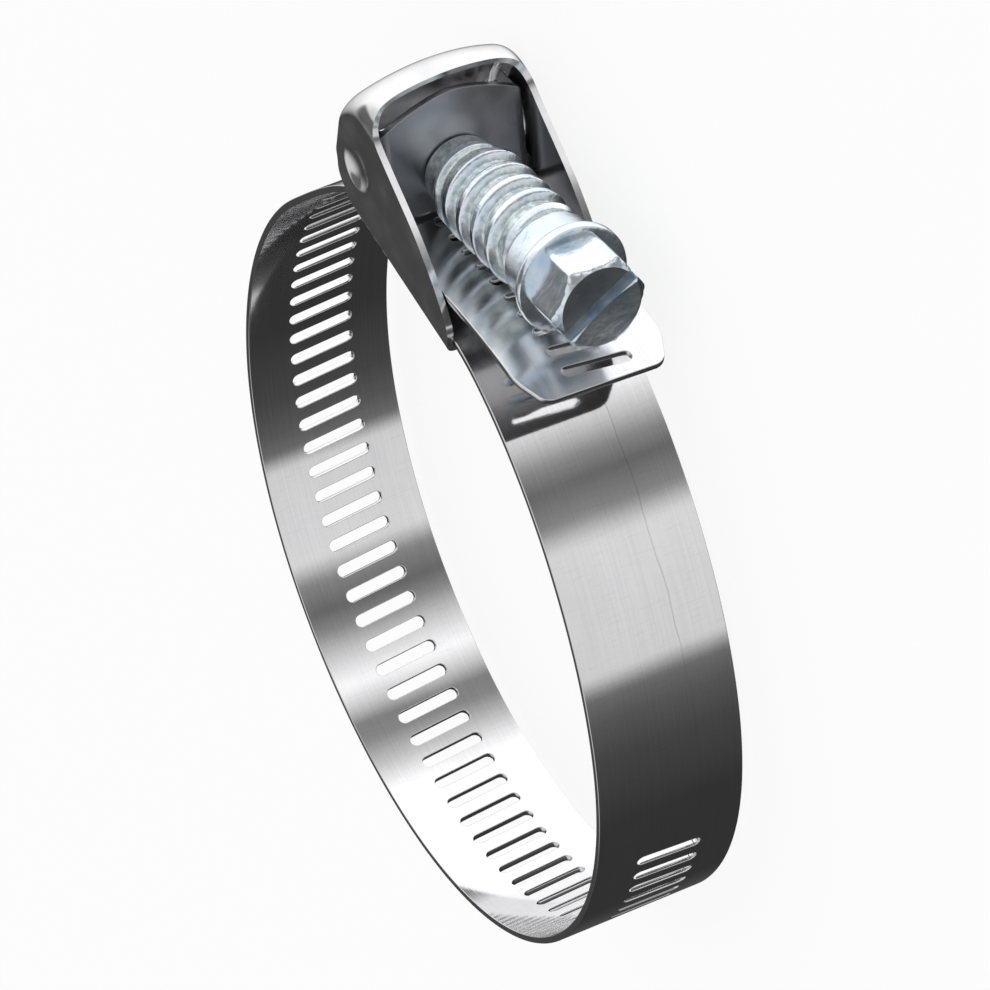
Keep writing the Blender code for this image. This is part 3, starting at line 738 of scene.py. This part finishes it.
def housing_section(housing, half_width, back):
    """The sheet's outer outline at one station: points (height, across), right round."""
    top = housing.height - rounded_off(back, housing.arch_front, housing.back,
                                       housing.roof_drop)
    wide = half_width - rounded_off(back, housing.back - housing.side_rounding, housing.back,
                                    housing.side_rounding)
    corner, low, roof = housing.top_corner, housing.low_corner, housing.roof_radius
    across = wide - corner
    reach = roof - corner
    lean = math.asin(across / reach)
    quarter = math.pi / 2
    right = [Vector((0.0, (wide - low) * step / 20)) for step in range(20)]
    right += arc(Vector((low, wide - low)), low, math.pi, quarter, 8)
    turned = arc(Vector((top - roof + reach * math.cos(lean), across)), corner,
                 quarter, lean, 16)
    steps = 44
    right += [right[-1].lerp(turned[0], step / steps) for step in range(1, steps)]
    right += turned
    right += arc(Vector((top - roof, 0.0)), roof, lean, 0.0, 20)[1:]
    return right + mirrored(right[1:-1])


def back_cuts(housing, band, half_width):
    """What is cut away below the end wall, and from the base where the band enters."""
    edge = smooth_outline([Vector((height * MM, back * MM)) for height, back in FOOT_EDGE]
                          + [Vector((housing.wall_foot, housing.back + WIDE_CLEAR))], 10)
    below = prism(edge + [Vector((housing.wall_foot, FAR)), Vector((-WIDE_CLEAR, FAR))],
                  -FAR, FAR)
    inner = half_width - housing.sheet
    upper = housing.sheet + 2 * (housing.gap + band.thickness)
    base_back = band.plain_end + 1.0 * MM
    mouth = prism([Vector((-WIDE_CLEAR, base_back)), Vector((upper, base_back)),
                   Vector((upper, FAR)), Vector((-WIDE_CLEAR, FAR))], -inner, inner)
    return [("DIFFERENCE", below), ("DIFFERENCE", mouth)]


def press(point, centre, radius, depth, slope):
    """How deep a clinch button is at one point of the sheet."""
    return depth * (1.0 - smooth_step(radius - slope, radius, (point - centre).length))


def bowl(point, centre, radius, depth):
    """How deep a round-bottomed pivot is at one point of the sheet."""
    share = min((point - centre).length / radius, 1.0)
    return depth * (1.0 - share * share) * (1.0 - smooth_step(0.8, 1.0, share))


class CLAMP_OT_housing(bpy.types.Operator):
    """Make the housing: walls, arched roof, end wall, pressed pivots and buttons"""

    bl_idname = "clamp.housing"
    bl_label = "Housing"

    def execute(self, context):
        scene = context.scene
        housing, band = scene.clamp_housing, scene.clamp_band
        half = band.width / 2 + housing.gap + housing.sheet
        full = housing_section(housing, half, 0.0)
        count, rows, front_rows = len(full), 96, 58
        split = housing.arch_front + 1.3 * MM
        ends = [curve_value(FRONT_EDGE, point.x) for point in full]
        pivot = Vector((housing.pivot_height, housing.pivot_back))
        buttons = [Vector((housing.button_back, side * housing.button_spacing / 2))
                   for side in (-1, 1)]
        spacing = 0.13 * MM
        near = [housing_section(housing, half, housing.arch_front + spacing * step)
                for step in range(12)]
        curved = {}

        def section_point(index, station, y):
            """A point of the outline, between two ready sections where y isn't a station."""
            if station >= front_rows:
                if station not in curved:
                    curved[station] = housing_section(housing, half, y)
                return curved[station][index]
            steps = max(y - housing.arch_front, 0.0) / spacing
            low = min(int(steps), len(near) - 2)
            return near[low][index].lerp(near[low + 1][index], steps - low)

        def place(column, row):
            index, station = round(column * count) % count, round(row * rows)
            if station < front_rows:
                y = ends[index] + (split - ends[index]) * station / front_rows
            else:
                share = (station - front_rows) / (rows - front_rows)
                y = split + (housing.back - split) * math.sin(math.pi / 2 * share)
            flat = section_point(index, station, y)
            spot = Vector((flat.x, y, flat.y))
            if abs(spot.z) > half - 0.05 * MM:
                sink = bowl(Vector((spot.x, y)), pivot, housing.pivot_radius,
                            housing.pivot_depth)
                spot.z -= math.copysign(sink, spot.z)
            if spot.x < 0.01 * MM:
                for button in buttons:
                    spot.x += press(Vector((y, spot.z)), button, housing.button_radius,
                                    housing.button_depth, housing.button_slope)
            return spot

        bm = wrapped_grid(count, rows, place)
        rim = [edge for edge in bm.edges if edge.is_boundary
               and edge.verts[0].co.y > housing.back - 0.01 * MM]
        bmesh.ops.contextual_create(bm, geom=rim)
        bmesh.ops.recalc_face_normals(bm, faces=bm.faces[:])
        crown = max(bm.faces, key=lambda face: face.calc_center_median().x)
        if crown.normal.x < 0:
            bmesh.ops.reverse_faces(bm, faces=bm.faces[:])
        mesh = combined(bm, back_cuts(housing, band, half), "arched_housing", housing.sheet)
        mesh.shade_smooth()
        finishes = scene.clamp_finishes
        piece = finish_piece("arched_housing", mesh, "housing", "clamp",
                             [formed_steel("formed_steel", finishes.sheet, 0.10, 0.24),
                              sheared_steel(finishes.edge)])
        round_edges(piece, housing.edge, 4, 50)
        return {"FINISHED"}


# Swivel bracket

def swivel_matrix(scene):
    """From the bracket's own frame, with the pivot at its origin, to the row frame."""
    housing, bracket = scene.clamp_housing, scene.clamp_bracket
    return (Matrix.Translation((housing.pivot_height, housing.pivot_back, 0))
            @ Matrix.Rotation(bracket.open_tilt, 4, "Z"))


class CLAMP_OT_bracket(bpy.types.Operator):
    """Make the bent bracket: an end plate with two ears on the pivots"""

    bl_idname = "clamp.bracket"
    bl_label = "Swivel bracket"

    def execute(self, context):
        scene = context.scene
        bracket, housing = scene.clamp_bracket, scene.clamp_housing
        screw, band = scene.clamp_screw, scene.clamp_band
        half = band.width / 2 + housing.gap - bracket.play
        face = bracket.reach + bracket.sheet
        ear = bracket.ear_radius
        fold = Vector((-face + bracket.bend, half - bracket.bend))
        outer, inner = ([Vector((ear + WIDE_CLEAR, fold.y + radius))]
                        + arc(fold, radius, math.pi / 2, math.pi, 10)
                        for radius in (bracket.bend, bracket.bend - bracket.sheet))
        profile = outer + mirrored(outer) + mirrored(inner[::-1]) + inner[::-1]
        low, high = bracket.bottom - WIDE_CLEAR, bracket.top + WIDE_CLEAR
        sheet = prism(profile, low, high, (Y_AXIS, Z_AXIS, X_AXIS))

        ear_top = ear - 0.2 * MM
        flank = [Vector((bracket.shoulder, half - 0.9 * MM)), Vector((ear_top, half)),
                 Vector((ear_top - 0.2 * MM, half + WIDE_CLEAR))]
        top = smooth_outline(mirrored(flank) + [Vector((bracket.top, 0))] + flank, 14)
        front_view = [Vector((bracket.bottom, -half - WIDE_CLEAR))] + top
        front_view.append(Vector((bracket.bottom, half + WIDE_CLEAR)))
        plate_blank = prism(front_view, -FAR, FAR, (X_AXIS, Z_AXIS, Y_AXIS))

        lobe = arc(Vector((0, 0)), ear, math.radians(-90), math.radians(80), 24)
        side_view = [Vector((p.y, p.x)) for p in lobe]
        side_view += [Vector((bracket.top + WIDE_CLEAR, -bracket.reach + 0.6 * MM)),
                      Vector((bracket.top + WIDE_CLEAR, -face - WIDE_CLEAR)),
                      Vector((bracket.bottom - WIDE_CLEAR, -face - WIDE_CLEAR)),
                      Vector((bracket.bottom - WIDE_CLEAR, -bracket.reach)),
                      Vector((-ear - 0.3 * MM, -bracket.reach + 0.4 * MM))]
        ear_blank = prism(side_view, -FAR, FAR)

        pivot_hole = add_drill(bmesh.new(), housing.pivot_radius + bracket.play, FAR, 48)
        place = (Matrix.Translation((-screw.drop, -bracket.reach, 0))
                 @ Matrix.Rotation(math.pi / 2, 4, "X"))
        screw_hole = add_drill(bmesh.new(), screw.neck + bracket.play, 2 * WIDE_CLEAR, 48, place)
        mesh = combined(sheet, [("INTERSECT", plate_blank), ("INTERSECT", ear_blank),
                                ("DIFFERENCE", pivot_hole), ("DIFFERENCE", screw_hole)],
                        "swivel_plate")
        mesh.transform(swivel_matrix(scene))
        mesh.shade_smooth()
        finishes = scene.clamp_finishes
        piece = finish_piece("swivel_plate", mesh, "swivel_bracket", "bracket",
                             [formed_steel("bracket_steel", finishes.bracket, 0.28, 0.45),
                              sheared_steel(finishes.edge)])
        round_edges(piece, bracket.edge, 3, 50)
        return {"FINISHED"}


# Screw

def eased_corner(along, radius, edge, side=1):
    """Three points round an outer corner whose face looks backwards, or forwards with -1."""
    return [(along, radius - edge), (along + side * 0.3 * edge, radius - 0.3 * edge),
            (along + side * edge, radius)][::side]


def turned_profile(scene):
    """(distance along, radius) of the screw's outline, without thread or hexagon."""
    bracket, screw = scene.clamp_bracket, scene.clamp_screw
    root = screw.thread - screw.depth
    back = bracket.reach - bracket.play
    front = bracket.reach + bracket.sheet + bracket.play
    step = front + screw.shoulder_length
    flange_back = screw.flange_face - screw.flange_thickness
    edge = 0.25 * MM
    tail = back - screw.swaged_length
    outline = [(tail, 0.0), *eased_corner(tail, screw.swaged, edge), (back, screw.swaged),
               (back, screw.neck), (front, screw.neck),
               *eased_corner(front, screw.shoulder, edge), (step - edge, screw.shoulder),
               (step, root)]
    stations = 180
    for index in range(1, stations + 1):
        outline.append((step + (screw.thread_end - step) * index / stations, root))
    outline += [(screw.thread_end + 0.4 * MM, root + 0.55 * (screw.collar - root)),
                (screw.thread_end + 0.7 * MM, screw.collar - 0.1 * MM),
                (screw.thread_end + 1.0 * MM, screw.collar), (flange_back - 2 * edge, screw.collar),
                (flange_back - 0.5 * edge, screw.collar + 0.3 * edge),
                (flange_back, screw.collar + 1.2 * edge),
                *eased_corner(flange_back, screw.flange, edge),
                *eased_corner(screw.flange_face, screw.flange, edge, -1)]
    return outline


THREAD_RIDGE = (0.10, 0.31)  # where the ridge's crest ends and its foot is, in turns
THREAD_FADE = (-0.35, 0.75)  # over which the thread rises at its ends, in turns


def thread_height(screw, pitch, along, angle):
    """Height of the worm thread above its root at one point of the core."""
    turns = (along - screw.thread_start) / pitch - angle / (2 * math.pi)
    phase = abs(turns - round(turns))
    ridge = 1.0 - smooth_step(*THREAD_RIDGE, phase)
    fade_in = smooth_step(*THREAD_FADE, (along - screw.thread_start) / pitch)
    fade_out = smooth_step(*THREAD_FADE, (screw.thread_end - along) / pitch)
    return screw.depth * ridge * fade_in * fade_out


def hexagon_radius(screw, angle, rounding):
    """Distance from the axis to the hexagon's side in one direction, corners eased."""
    sixth = math.pi / 3
    off = (angle + sixth / 2) % sixth - sixth / 2
    flat = screw.across_flats / 2 / math.cos(off)
    return min(flat, screw.across_flats / math.sqrt(3) - rounding)


class CLAMP_OT_screw(bpy.types.Operator):
    """Make the worm screw with its thread, flange and slotted hexagon head"""

    bl_idname = "clamp.screw"
    bl_label = "Worm screw"

    def execute(self, context):
        scene = context.scene
        screw, pitch = scene.clamp_screw, scene.clamp_band.pitch
        turned = turned_profile(scene)
        body = len(turned)
        top = screw.flange_face + screw.head
        corner = screw.across_flats / math.sqrt(3)
        for index in range(5):
            turned.append((screw.flange_face + 0.02 * MM * index, corner))
        for index in range(1, 25):
            turned.append((screw.flange_face + (screw.head - 0.02 * MM) * index / 24, corner))
        rings = 8
        for index in range(1, rings + 1):
            turned.append((top, 1.0 - index / rings))
        steps, chamfer_slope, corner_ease = 144, 1.25, 0.12 * MM

        def place(column, row):
            index = round(row * (len(turned) - 1))
            along, radius = turned[index]
            angle = 2 * math.pi * (column % 1.0)
            if index < body:
                if screw.thread_start - pitch < along < screw.thread_end + 0.1 * MM:
                    radius += thread_height(screw, pitch, along, angle)
            else:
                share = radius if index >= len(turned) - rings else 1.0
                cone = corner + (top - along - screw.chamfer) * chamfer_slope
                radius = share * min(hexagon_radius(screw, angle, corner_ease), cone)
                along -= screw.dish * (1.0 - share * share)
            return Vector((radius * math.cos(angle), radius * math.sin(angle), along))

        bm = wrapped_grid(steps, len(turned) - 1, place)
        bmesh.ops.dissolve_degenerate(bm, edges=bm.edges[:], dist=0.0004 * MM)
        bmesh.ops.recalc_face_normals(bm, faces=bm.faces[:])
        width, depth = screw.slot_width / 2, screw.slot_depth
        flare = 0.2 * MM
        side = [(width + flare, top + depth), (width + flare, top), (width, top - flare),
                (width, top - depth)]
        slot_outline = [(-x, height) for x, height in reversed(side)] + side
        slot = prism(slot_outline, -10 * MM, 10 * MM, (X_AXIS, Z_AXIS, Y_AXIS))
        bmesh.ops.rotate(slot, verts=slot.verts[:], cent=(0, 0, 0),
                         matrix=Matrix.Rotation(screw.slot_turn, 3, "Z"))
        mesh = combined(bm, [("DIFFERENCE", slot)], "worm_screw_plated")
        across = Vector((math.cos(screw.slot_turn), math.sin(screw.slot_turn), 0.0))
        # The driver slot's walls take the second, darker material.
        for face in mesh.polygons:
            sawn = (abs(face.center.dot(across)) < width + 0.01 * MM
                    and top - depth - 0.01 * MM < face.center.z < top - flare)
            face.material_index = 1 if sawn else 0
        placed = (swivel_matrix(scene) @ Matrix.Translation((-screw.drop, 0, 0))
                  @ Matrix.Rotation(math.pi / 2, 4, "X"))
        mesh.transform(placed)
        mesh.shade_smooth()
        mesh.set_sharp_from_angle(angle=math.radians(38))
        finish_piece("plated_worm_screw", mesh, "worm_screw", "screw",
                     [bright_zinc(scene.clamp_finishes.zinc, placed, screw),
                      sheared_steel(scene.clamp_finishes.slot, "sawn_slot")])
        return {"FINISHED"}


# Stage

# (compass direction in degrees, brightness) of what the metal mirrors, and the dark flag's side
GLOSS_ROUND = [(-180, 0.04), (-130, 0.045), (-106, 0.08), (-95, 0.13), (-88, 0.20),
               (-83, 0.86), (-53, 0.95), (-47, 0.32), (-38, 0.18), (-32, 0.34), (-25, 0.80),
               (-15, 1.40), (-8, 0.80), (-3, 0.30), (3, 0.34), (12, 0.80), (22, 1.50),
               (80, 1.50), (112, 1.10), (128, 0.50), (138, 0.07), (165, 0.07), (180, 0.04)]
FLAG_SIDE = (112 + 180) / 360


def studio_world(scene):
    """White round the object, with dark and bright sides that only the metal shows."""
    world = bpy.data.worlds.new("studio")
    world.use_nodes = True
    world.node_tree.nodes.clear()
    wire = Wire(world.node_tree)
    east, north, up = wire.node("ShaderNodeTexCoord").split()
    compass = wire.math("ARCTAN2", north, east) / (2 * math.pi) + 0.5
    tallest = max(level for _, level in GLOSS_ROUND)
    stops = [((degrees + 180) / 360, level / tallest) for degrees, level in GLOSS_ROUND]
    cards = wire.node("ShaderNodeValToRGB", {"stops": stops}, {"Fac": compass}) * tallest
    overhead = up.clamped(0.45, 0.85)
    off_flag = wire.math("ABSOLUTE", compass - FLAG_SIDE)
    flag = up.clamped(0.50, 0.62) * (1 - off_flag.clamped(0.05, 0.09))
    gloss = (cards * (1 - overhead) + overhead * 0.9) * (1 - flag * 0.82)
    rays = wire.node("ShaderNodeLightPath")
    seen = Wire(wire.tree, rays.socket.node.outputs["Is Glossy Ray"])
    strength = seen * gloss + (1 - seen)
    background = wire.node("ShaderNodeBackground", None,
                           {"Color": (1.0, 1.0, 1.0, 1.0), "Strength": strength})
    wire.node("ShaderNodeOutputWorld", None, {"Surface": background})
    scene.world = world


def studio_floor(scene, height, shade):
    mesh = bpy.data.meshes.new("floor")
    bm = bmesh.new()
    bmesh.ops.create_grid(bm, x_segments=1, y_segments=1, size=6.0,
                          matrix=Matrix.Translation((0, 0, height)))
    bm.to_mesh(mesh)
    bm.free()
    floor = bpy.data.objects.new("floor", mesh)
    scene.collection.objects.link(floor)
    made, wire = new_material("floor")
    rays = wire.node("ShaderNodeLightPath")
    painted = wire.node("ShaderNodeBsdfDiffuse", None, {"Color": (*shade, 1.0)})
    lit = wire.node("ShaderNodeEmission", None, {"Color": (1.0, 1.0, 1.0, 1.0)})
    surface = wire.node("ShaderNodeMixShader", None, {"Fac": rays * 0.85, 1: painted, 2: lit})
    wire.node("ShaderNodeOutputMaterial", None, {"Surface": surface})
    mesh.materials.append(made)
    floor.visible_glossy = False


def studio_camera(scene):
    """The photograph's own viewpoint, turned on its side as the photograph is."""
    camera = bpy.data.cameras.new("camera")
    camera.sensor_width = 36.0
    camera.lens = 285.73
    camera.clip_start = 0.05
    camera.clip_end = 20.0
    camera.dof.use_dof = False
    holder = bpy.data.objects.new("camera", camera)
    scene.collection.objects.link(holder)
    right = Vector((0.0791, -0.4759, -0.8759)).normalized()
    up = Vector((0.5954, 0.7273, -0.3414)).normalized()
    back = right.cross(up).normalized()
    up = back.cross(right)
    turned = Matrix((right, up, back)).transposed().to_4x4()
    holder.matrix_world = Matrix.Translation((0.5292, -0.3518, 0.2369)) @ turned
    scene.camera = holder


class CLAMP_OT_stage(bpy.types.Operator):
    """Make the floor, the studio light and the camera"""

    bl_idname = "clamp.stage"
    bl_label = "Stage"

    def execute(self, context):
        scene = context.scene
        studio_world(scene)
        studio_floor(scene, CAD_BOX[0].z, scene.clamp_finishes.floor)
        studio_camera(scene)
        scene.view_settings.view_transform = "Standard"
        return {"FINISHED"}


class CLAMP_PT_panel(bpy.types.Panel):
    """Lists the pieces of the clamp and their sizes"""

    bl_label = "Band clamp"
    bl_idname = "CLAMP_PT_panel"
    bl_space_type = "VIEW_3D"
    bl_region_type = "UI"
    bl_category = "Clamp"

    def draw(self, context):
        layout = self.layout
        for operator in OPERATORS:
            layout.operator(operator.bl_idname)
        for name in GROUPS:
            settings = getattr(context.scene, name)
            box = layout.box()
            for field in settings.bl_rna.properties:
                if field.identifier not in {"rna_type", "name"}:
                    label = field.identifier.replace("_", " ").capitalize()
                    box.prop(settings, field.identifier, text=label)


GROUPS = {"clamp_band": BandSizes, "clamp_loop": LoopSizes, "clamp_housing": HousingSizes,
          "clamp_bracket": BracketSizes, "clamp_screw": ScrewSizes, "clamp_finishes": Finishes}
OPERATORS = (CLAMP_OT_band, CLAMP_OT_housing, CLAMP_OT_bracket, CLAMP_OT_screw, CLAMP_OT_stage)


def register():
    for group in GROUPS.values():
        bpy.utils.register_class(group)
    for name, group in GROUPS.items():
        setattr(bpy.types.Scene, name, PointerProperty(type=group))
    for operator in OPERATORS:
        bpy.utils.register_class(operator)
    bpy.utils.register_class(CLAMP_PT_panel)


def unregister():
    bpy.utils.unregister_class(CLAMP_PT_panel)
    for operator in reversed(OPERATORS):
        bpy.utils.unregister_class(operator)
    for name in GROUPS:
        delattr(bpy.types.Scene, name)
    for group in reversed(list(GROUPS.values())):
        bpy.utils.unregister_class(group)


def main():
    register()
    bpy.ops.clamp.band()
    bpy.ops.clamp.housing()
    bpy.ops.clamp.bracket()
    bpy.ops.clamp.screw()
    bpy.ops.clamp.stage()
    bpy.context.view_layer.update()


if __name__ == "__main__":
    main()
